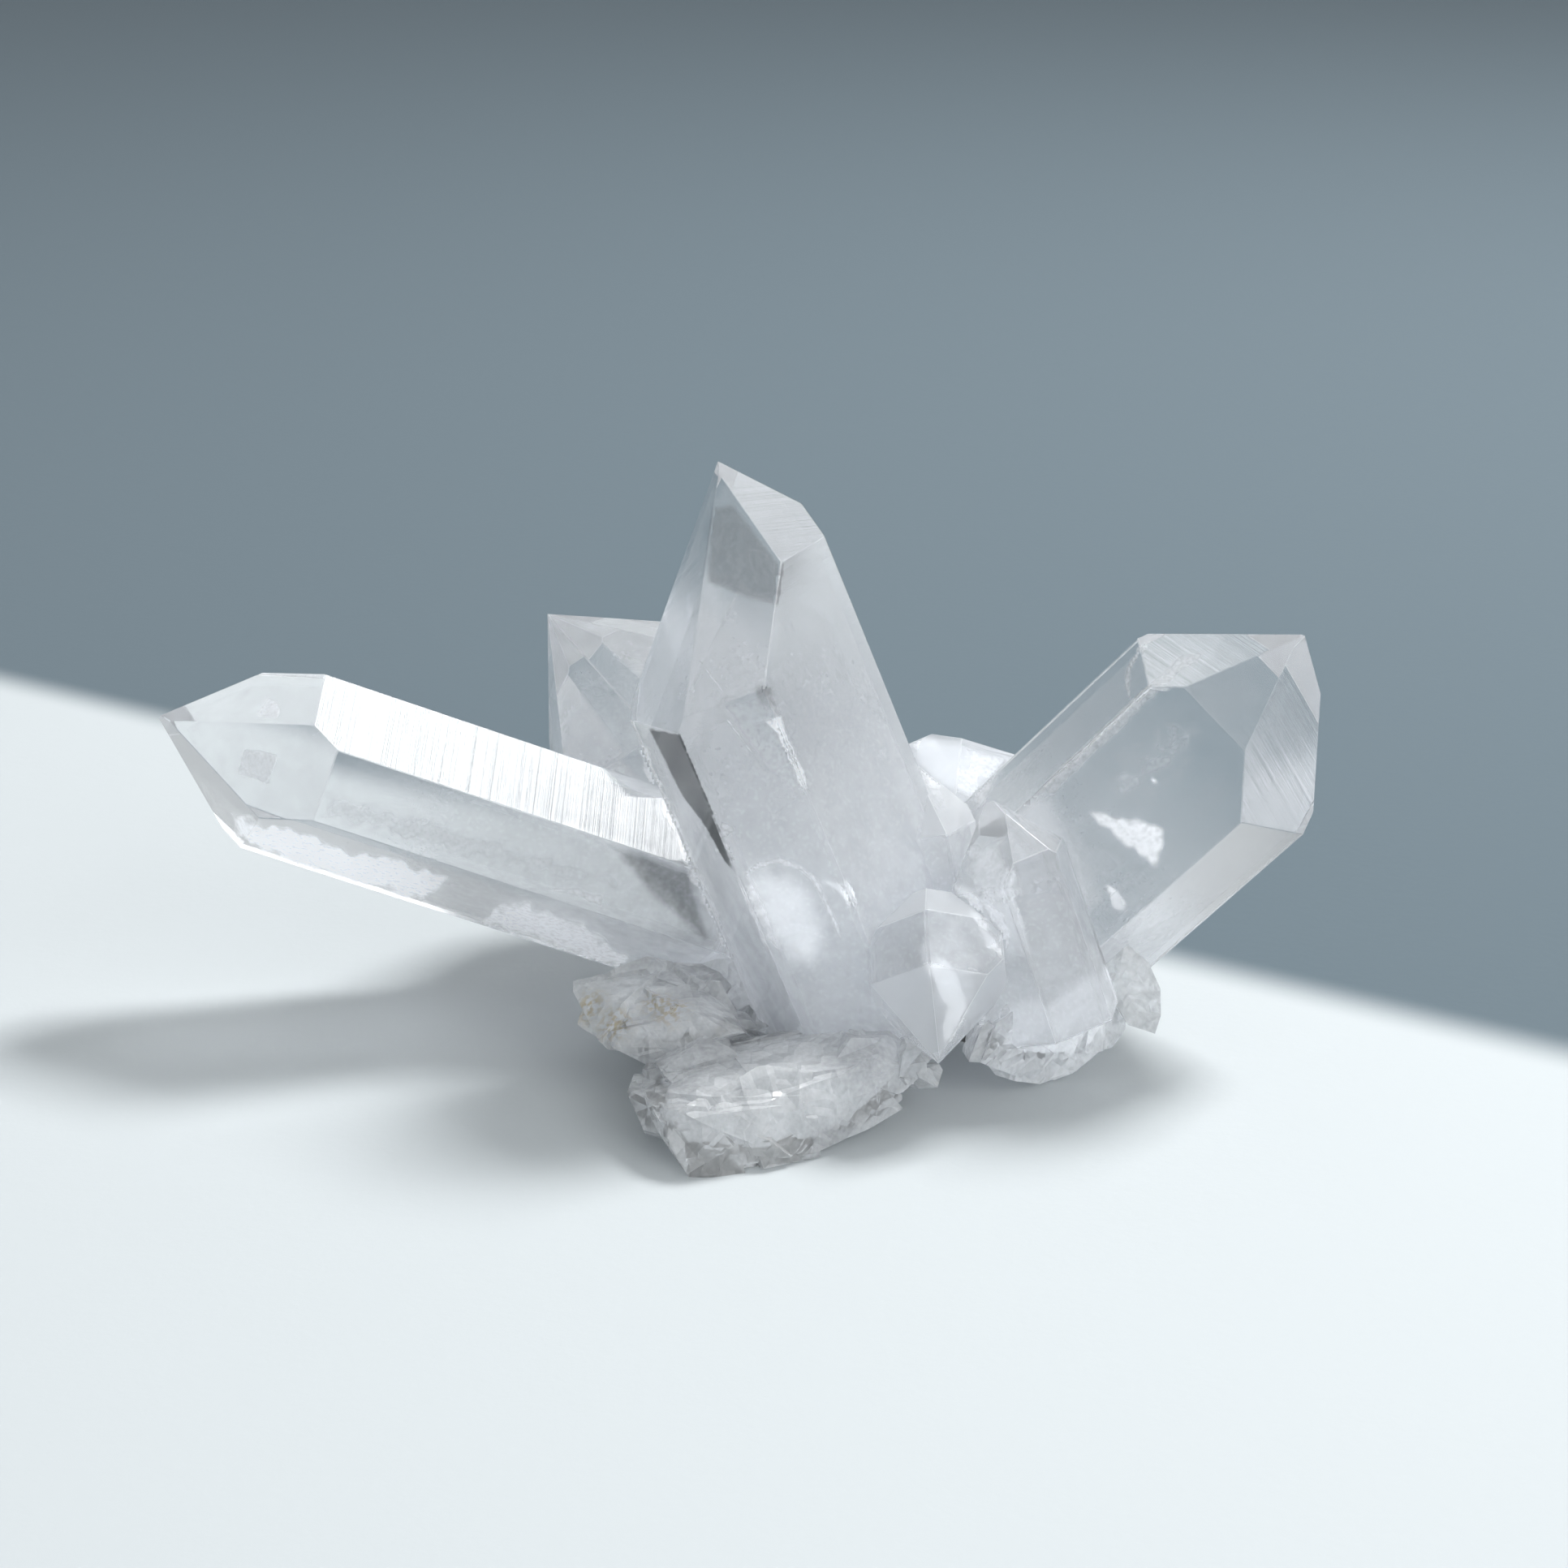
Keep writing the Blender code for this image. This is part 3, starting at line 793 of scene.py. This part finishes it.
def quartz_material(colours, stains):
    """Clear quartz that turns milky towards its root, with growth lines, worn edges and rusty stains."""
    material = bpy.data.materials.new("quartz_skin")
    make = Recipe(material)
    place = make.place()
    broken, worn = make.attribute("broken"), make.attribute("worn")
    along, prism = make.attribute("along"), make.attribute("prism")
    wide = make.clouds(place, WIDE_RATE, 1.0)
    fine = make.clouds(place, FINE_RATE, 1.0, FINE_ROUGHNESS)
    milky = ((1.0 - (along + (wide - 0.5) * ROOT_FADE_DRIFT).between(*ROOT_FADE)) * (1.0 - broken)).clamped()
    lines = make.add("ShaderNodeTexNoise", {"noise_dimensions": "1D"}, {
        "W": along * GROWTH_LINE_RATE, "Detail": 1.0, "Roughness": GROWTH_LINE_ROUGHNESS})[0]
    chips = make.chips(place, CHIP_RATE) * CHIP_DEPTH
    grain = fine * (worn * WORN_GRAIN + broken * BROKEN_GRAIN)
    height = lines * prism * GROWTH_LINE + chips * broken + grain
    bump = make.add("ShaderNodeBump", {}, {"Height": height * MM, "Distance": 1.0, "Strength": 1.0})[0]
    rough = (CLEAR_ROUGH + broken * (BROKEN_ROUGH + fine * BROKEN_ROUGH_GRAIN) + worn * WORN_ROUGH).clamped()
    glass = make.add("ShaderNodeBsdfPrincipled", {}, {
        "Base Color": rgba(colours.clear), "Roughness": rough, "IOR": QUARTZ_IOR,
        "Transmission Weight": 1.0, "Normal": bump})[0]
    rusty = (near_any(make, place, stains, STAIN_RADIUS) * fine.between(*STAIN_GRAIN_SPAN)).clamped()
    white = make.blend(rusty, rgba(colours.milky), rgba(colours.stain))
    front = make.add("ShaderNodeBsdfPrincipled", {}, {
        "Base Color": white, "Roughness": CLOUDY_ROUGH, "IOR": QUARTZ_IOR, "Normal": bump})[0]
    through = make.add("ShaderNodeBsdfTranslucent", {}, {"Color": white, "Normal": bump})[0]
    cloudy = make.add("ShaderNodeMixShader", {}, {0: THROUGH_SHARE, 1: front, 2: through})[0]
    foot = FOOT_CLOUD + (wide - 0.5) * FOOT_CLOUD_WIDE + (fine - 0.5) * FOOT_CLOUD_FINE
    share = (broken * foot + milky * ROOT_CLOUD
             + worn * WORN_CLOUD + (1.0 - prism) * (1.0 - broken) * TIP_CLOUD).clamped()
    skin = make.add("ShaderNodeMixShader", {}, {0: share, 1: glass, 2: cloudy})[0]
    make.add("ShaderNodeOutputMaterial", {}, {"Surface": skin})
    return material


def cloud_material(name, colour, cover):
    """White bubbles with clear gaps. The cover says, from a recipe, how much is bubbles."""
    material = bpy.data.materials.new(name)
    make = Recipe(material)
    # Painted dark reflection: a dark sheet takes the dark veil colour in place of white.
    paint = make.blend(make.attribute("tone"), rgba(PAINTED_DARK_VEIL), rgba(colour))
    # Painted glow: the emission stands in for sunlight gathered inside the quartz.
    light = make.blend(make.attribute("glow"), rgba((0.0, 0.0, 0.0)), rgba(colour))
    white = make.add("ShaderNodeBsdfPrincipled", {}, {
        "Base Color": paint, "Roughness": BUBBLE_ROUGH,
        "Emission Color": light, "Emission Strength": 1.0})[0]
    through = make.add("ShaderNodeBsdfTranslucent", {}, {"Color": paint})[0]
    both = make.add("ShaderNodeMixShader", {}, {0: BUBBLE_THROUGH, 1: white, 2: through})[0]
    gap = make.add("ShaderNodeBsdfTransparent")[0]
    skin = make.add("ShaderNodeMixShader", {}, {0: cover(make), 1: gap, 2: both})[0]
    make.add("ShaderNodeOutputMaterial", {}, {"Surface": skin})
    return material


def veil_cover(make):
    grains = make.clouds(make.place(), VEIL_GRAIN_RATE, 1.0, VEIL_GRAIN_ROUGHNESS)
    cover = VEIL_COVER + grains.between(*VEIL_GRAIN_SPAN) * VEIL_GRAIN_COVER
    return (cover * make.attribute("strength")).clamped()


def heart_cover(rate):
    """Clouds that thin out towards the tip, with fine specks in them."""

    def cover(make):
        place = make.place()
        clouds = make.clouds(place, rate, HEART_DETAIL, HEART_ROUGHNESS)
        specks = make.clouds(place, SPECK_RATE, 0.0, HEART_ROUGHNESS).between(*SPECK_SPAN)
        fade = 1.0 - (make.attribute("share") + (clouds - 0.5) * HEART_FADE_DRIFT).between(*HEART_FADE)
        milk = HEART_COVER + clouds.between(*HEART_CLOUD_SPAN) * HEART_CLOUD_COVER + specks * SPECK_COVER
        return (milk * fade * make.attribute("strength")).clamped()

    return cover


def write_points(mesh, **values):
    """Writes numbers on the points of a mesh, one each or one for all."""
    for name, value in values.items():
        numbers = value if isinstance(value, list) else [value] * len(mesh.vertices)
        mesh.attributes.new(name, "FLOAT", "POINT").data.foreach_set("value", numbers)


def grow_heart(heart, crystal, number):
    """The closed milky middle of one crystal."""
    smaller = replace(
        crystal, sides=tuple(side - heart.inset for side in crystal.sides),
        tips=tuple(tip * heart.reach - heart.inset for tip in crystal.tips),
        root=min(crystal.root, HEART_ROOT), lower_tips=tuple(tip - heart.inset for tip in crystal.lower_tips))
    planes = [(point, outward) for point, outward, _ in crystal_faces(smaller)]
    planes.append((Vector((0.0, 0.0, HEART_LOWEST)), Vector((0.0, 0.0, -1.0))))
    block = block_from_planes(Vector(crystal.foot), max(crystal.tips) * BLANK_REACH, planes)
    axis = crystal_axes(crystal)[2]
    length = max(smaller.tips)
    shares = [axis.dot(vert.co - Vector(crystal.foot)) / length for vert in block.verts]
    return stand_heart(f"heart_{heart.crystal}_{number}", block, shares, heart.cloud, heart.glow)


def grow_foot_heart(lump):
    """The closed milky middle of one lump of the foot."""
    planes = [(point - outward * FOOT_HEART_INSET, outward) for point, outward in hull_faces(lump.corners)]
    planes.append((Vector((0.0, 0.0, FOOT_HEART_LOWEST)), Vector((0.0, 0.0, -1.0))))
    middle = sum((Vector(corner) for corner in lump.corners), Vector()) / len(lump.corners)
    reach = max((Vector(corner) - middle).length for corner in lump.corners)
    block = block_from_planes(middle, reach * BLANK_REACH, planes)
    return stand_heart(f"heart_{lump.name}", block, 0.0, FOOT_HEART_CLOUD, FOOT_PAINTED_GLOWS[lump.name])


def stand_heart(name, block, shares, cloud, glow):
    """The finished heart, moved to where the cluster stands, with what its material reads."""
    bmesh.ops.scale(block, vec=(MM, MM, MM), verts=block.verts[:])
    obj = new_object(name, block)
    obj.data.transform(Matrix.Translation(STAND * MM))
    write_points(obj.data, share=shares, strength=cloud, tone=1.0, glow=glow)
    return obj


def view_axes():
    """The view's directions to the right, up and away from the viewer."""
    down = math.radians(VIEW_DOWN_DEG)
    return (Vector((1.0, 0.0, 0.0)), Vector((0.0, math.sin(down), math.cos(down))),
            Vector((0.0, math.cos(down), -math.sin(down))))


def view_place():
    return AIM - view_axes()[2] * VIEW_DISTANCE


def view_ray(across, down):
    """The direction in which the view sees one pixel."""
    right, up, away = view_axes()
    middle = VIEW_WIDTH / 2
    return (away * VIEW_FOCUS + right * (across - middle) - up * (down - middle)).normalized()


def refracted(ray, normal):
    """The direction of a ray once it is inside the quartz."""
    cosine = -ray.dot(normal)
    share = 1.0 / QUARTZ_IOR
    depth = math.sqrt(1.0 - share ** 2 * (1.0 - cosine ** 2))
    return (ray * share + normal * (share * cosine - depth)).normalized()


def seen_spot(tree, across, down):
    """Where the view first meets the quartz, and the way it faces there."""
    hit, normal, _, _ = tree.ray_cast(view_place() * MM, view_ray(across, down))
    return hit, normal


def inside_outline(across, down, outline):
    inside = False
    for (x0, y0), (x1, y1) in zip(outline, (*outline[1:], outline[0])):
        if (y0 > down) != (y1 > down) and across < (x1 - x0) * (down - y0) / (y1 - y0) + x0:
            inside = not inside
    return inside


def depth_inside(across, down, outline):
    """How far a pixel lies inside an outline, less than 0 outside it."""
    spot = Vector((across, down))
    nearest = math.inf
    for one, other in zip(outline, (*outline[1:], outline[0])):
        start, way = Vector(one), Vector(other) - Vector(one)
        share = min(max((spot - start).dot(way) / way.length_squared, 0.0), 1.0)
        nearest = min(nearest, (spot - start - way * share).length)
    return nearest if inside_outline(across, down, outline) else -nearest


def build_veil(veil, tree, step):
    """The sheet of one veil, as a grid just behind the surface that shows it, fading at its border."""
    xs, ys = [x for x, _ in veil.outline], [y for _, y in veil.outline]
    columns = int((max(xs) - min(xs) + 2 * veil.ragged) / step) + 2
    rows = int((max(ys) - min(ys) + 2 * veil.ragged) / step) + 2
    sheet = bmesh.new()
    corners, strengths = {}, []
    for column in range(columns):
        for row in range(rows):
            across, down = min(xs) - veil.ragged + column * step, min(ys) - veil.ragged + row * step
            drift = noise.noise(Vector((across, down, VEIL_DRIFT_SLICE)) * VEIL_DRIFT_RATE) * veil.ragged
            depth = depth_inside(across, down, veil.outline) + drift
            hit, normal = seen_spot(tree, across, down)
            if hit is None or depth < -step:
                continue
            wave = noise.noise(Vector((across, down, 0.0)) * VEIL_WAVE_RATE) * veil.ripple
            ray = refracted(view_ray(across, down), normal)
            corners[column, row] = sheet.verts.new(hit + ray * (veil.inset + wave) * MM)
            strengths.append(min(max(depth / veil.soft, 0.0), 1.0) * veil.strength)
    for column, row in corners:
        square = [(column, row), (column, row + 1), (column + 1, row + 1), (column + 1, row)]
        if all(place in corners for place in square):
            verts = [corners[place] for place in square]
            if max((verts[0].co - vert.co).length for vert in verts) < VEIL_LARGEST_JUMP * step * MM:
                sheet.faces.new(verts)
    obj = new_object(f"veil_{veil.name}", sheet)
    write_points(obj.data, strength=strengths, tone=veil.tone, glow=veil.glow)
    for face in obj.data.polygons:
        face.use_smooth = True
    return obj


class QUARTZ_OT_skin(bpy.types.Operator):
    """Grow the crystals and the broken foot as one skin"""

    bl_idname = "quartz.skin"
    bl_label = "Crystals and foot"

    def execute(self, context):
        wear, chance = context.scene.quartz_sizes.edge_wear, random.Random(WEAR_SEED)
        crystals = [grow_crystal(crystal, wear, chance) for crystal in CRYSTALS]
        mesh = join_all(crystals[0], [*crystals[1:], *build_foot()])
        if not mesh.polygons:
            raise RuntimeError("the crystals and the foot could not be joined")
        mark_faces(mesh)
        mesh.transform(Matrix.Translation(STAND * MM))
        for face in mesh.polygons:
            face.material_index = 0
        mesh.materials.clear()
        skin = bpy.data.objects.new("quartz_skin", mesh)
        context.scene.collection.objects.link(skin)
        tree = BVHTree.FromObject(skin, context.evaluated_depsgraph_get())
        stains = [seen_spot(tree, *spot)[0] / MM for spot in STAIN_SPOTS]
        mesh.materials.append(quartz_material(context.scene.quartz_colours, stains))
        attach(skin, "root")
        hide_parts(CAD_NODE)
        return {"FINISHED"}


class QUARTZ_OT_veils(bpy.types.Operator):
    """Hang the cloudy veils inside the crystals"""

    bl_idname = "quartz.veils"
    bl_label = "Veils"

    def execute(self, context):
        skin = bpy.data.objects["quartz_skin"]
        tree = BVHTree.FromObject(skin, context.evaluated_depsgraph_get())
        material = cloud_material("veil", context.scene.quartz_colours.veil, veil_cover)
        noise.seed_set(VEIL_SEED)
        for veil in VEILS:
            obj = build_veil(veil, tree, context.scene.quartz_sizes.veil_step)
            obj.data.materials.append(material)
            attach(obj, "root")
        return {"FINISHED"}


class QUARTZ_OT_hearts(bpy.types.Operator):
    """Fill the crystals with their milky middles"""

    bl_idname = "quartz.hearts"
    bl_label = "Milky hearts"

    def execute(self, context):
        named = {crystal.name: crystal for crystal in CRYSTALS}
        colour = context.scene.quartz_colours.veil
        grown = [(grow_heart(heart, named[heart.crystal], number), heart.rate)
                 for number, heart in enumerate(HEARTS)]
        grown += [(grow_foot_heart(lump), FOOT_HEART_RATE) for lump in LUMPS if lump.shards]
        for obj, rate in grown:
            obj.data.materials.append(cloud_material(obj.name, colour, heart_cover(rate)))
            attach(obj, "root")
        return {"FINISHED"}


class QUARTZ_OT_studio(bpy.types.Operator):
    """Lay the pale floor, hang the soft lights and set up the camera"""

    bl_idname = "quartz.studio"
    bl_label = "Floor, lights and camera"

    def execute(self, context):
        studio = context.scene.quartz_studio
        self.lay_floor(studio)
        self.hang_lights(context.scene, studio)
        self.set_camera(context.scene)
        context.scene.view_settings.view_transform = "Standard"
        context.scene.cycles.adaptive_threshold = NOISE_LIMIT
        context.scene.cycles.caustics_reflective = False
        context.scene.cycles.max_bounces = LIGHT_BOUNCES
        context.scene.cycles.transmission_bounces = LIGHT_BOUNCES
        context.scene.cycles.glossy_bounces = MIRROR_BOUNCES
        return {"FINISHED"}

    def lay_floor(self, studio):
        sheet = bmesh.new()
        bmesh.ops.create_grid(sheet, x_segments=1, y_segments=1, size=FLOOR_REACH)
        floor = new_object("floor", sheet)
        material = bpy.data.materials.new("pale_floor")
        make = Recipe(material)
        split = make.add("ShaderNodeSeparateXYZ", {}, {0: make.place()})
        # Painted shadow: beyond a slanting line behind the cluster the floor's colour fades to the grey-blue
        # of a cast shadow.
        across = split["X"] * SHADE_ACROSS[0] + split["Y"] * SHADE_ACROSS[1]
        painted_shadow = across.between(SHADE_START, SHADE_START + SHADE_BLUR)
        colour = make.blend(painted_shadow, rgba(studio.floor), rgba(studio.painted_shadow))
        paper = make.clouds(make.place(), PAPER_RATE)
        bump = make.add("ShaderNodeBump", {}, {"Height": paper * PAPER_GRAIN * MM, "Distance": 1.0})[0]
        finish = make.add("ShaderNodeBsdfPrincipled", {}, {
            "Base Color": colour, "Roughness": FLOOR_ROUGH, "Specular IOR Level": FLOOR_SHINE,
            "Normal": bump})[0]
        make.add("ShaderNodeOutputMaterial", {}, {"Surface": finish})
        floor.data.materials.append(material)

    def hang_lights(self, scene, studio):
        world = bpy.data.worlds.new("soft_room")
        make = Recipe(world)
        direction = make.add("ShaderNodeTexCoord")["Generated"]
        split = make.add("ShaderNodeSeparateXYZ", {}, {0: direction})
        glow = (SKY_LOW + split["Z"].between(*SKY_SPAN) * SKY_RISE) * studio.sky_strength
        light = make.add("ShaderNodeBackground", {}, {"Color": rgba(studio.sky), "Strength": glow})[0]
        make.add("ShaderNodeOutputWorld", {}, {"Surface": light})
        scene.world = world
        key = self.hang_box(scene, KEY_BOX, studio.key_glow)
        fill = self.hang_box(scene, FILL_BOX, studio.fill_glow)
        key.visible_glossy = False
        fill.visible_glossy = False
        glint = self.hang_box(scene, GLINT_BOX, studio.glint_glow)
        glint.visible_diffuse = False
        glint.visible_transmission = False

    def hang_box(self, scene, box, glow):
        """A soft box facing the cluster. Its glow is how bright its face looks beside a white sky."""
        towards = Vector(box.direction).normalized()
        beside = Vector((0.0, 0.0, 1.0)).cross(towards).normalized()
        above = towards.cross(beside)
        lamp = bpy.data.lights.new(box.name, "AREA")
        lamp.shape = "RECTANGLE"
        lamp.size, lamp.size_y = box.size
        lamp.energy = glow * math.pi * box.size[0] * box.size[1]
        hung = bpy.data.objects.new(box.name, lamp)
        scene.collection.objects.link(hung)
        place = towards * box.distance + beside * box.shift[0] + above * box.shift[1]
        turn = Matrix((beside, above, towards)).transposed().to_4x4()
        hung.matrix_world = Matrix.Translation(place) @ turn
        return hung

    def set_camera(self, scene):
        lens = bpy.data.cameras.new("camera")
        lens.sensor_width = SENSOR_WIDTH
        lens.lens = VIEW_FOCUS / VIEW_WIDTH * SENSOR_WIDTH
        lens.clip_start = NEAREST_SEEN
        camera = bpy.data.objects.new("camera", lens)
        scene.collection.objects.link(camera)
        camera.location = view_place() * MM
        camera.rotation_euler = (math.radians(90.0 - VIEW_DOWN_DEG), 0.0, 0.0)
        scene.camera = camera


OPERATORS = (QUARTZ_OT_studio, QUARTZ_OT_skin, QUARTZ_OT_hearts, QUARTZ_OT_veils)


class QUARTZ_PT_panel(bpy.types.Panel):
    """The cluster's pieces and settings"""

    bl_label = "Quartz cluster"
    bl_idname = "QUARTZ_PT_panel"
    bl_space_type = "VIEW_3D"
    bl_region_type = "UI"
    bl_category = "Quartz"

    def draw(self, context):
        for operator in OPERATORS:
            self.layout.operator(operator.bl_idname)
        for group in (context.scene.quartz_sizes, context.scene.quartz_colours, context.scene.quartz_studio):
            for name in group.__annotations__:
                self.layout.prop(group, name)


SETTINGS = {"quartz_sizes": QuartzSizes, "quartz_colours": QuartzColours, "quartz_studio": StudioSettings}


def register():
    for added in (*SETTINGS.values(), *OPERATORS, QUARTZ_PT_panel):
        bpy.utils.register_class(added)
    for name, group in SETTINGS.items():
        setattr(bpy.types.Scene, name, PointerProperty(type=group))


def unregister():
    for name in SETTINGS:
        delattr(bpy.types.Scene, name)
    for added in (QUARTZ_PT_panel, *reversed(OPERATORS), *reversed(SETTINGS.values())):
        bpy.utils.unregister_class(added)


def main():
    register()
    bpy.ops.quartz.studio()
    bpy.ops.quartz.skin()
    bpy.ops.quartz.hearts()
    bpy.ops.quartz.veils()


if __name__ == "__main__":
    main()
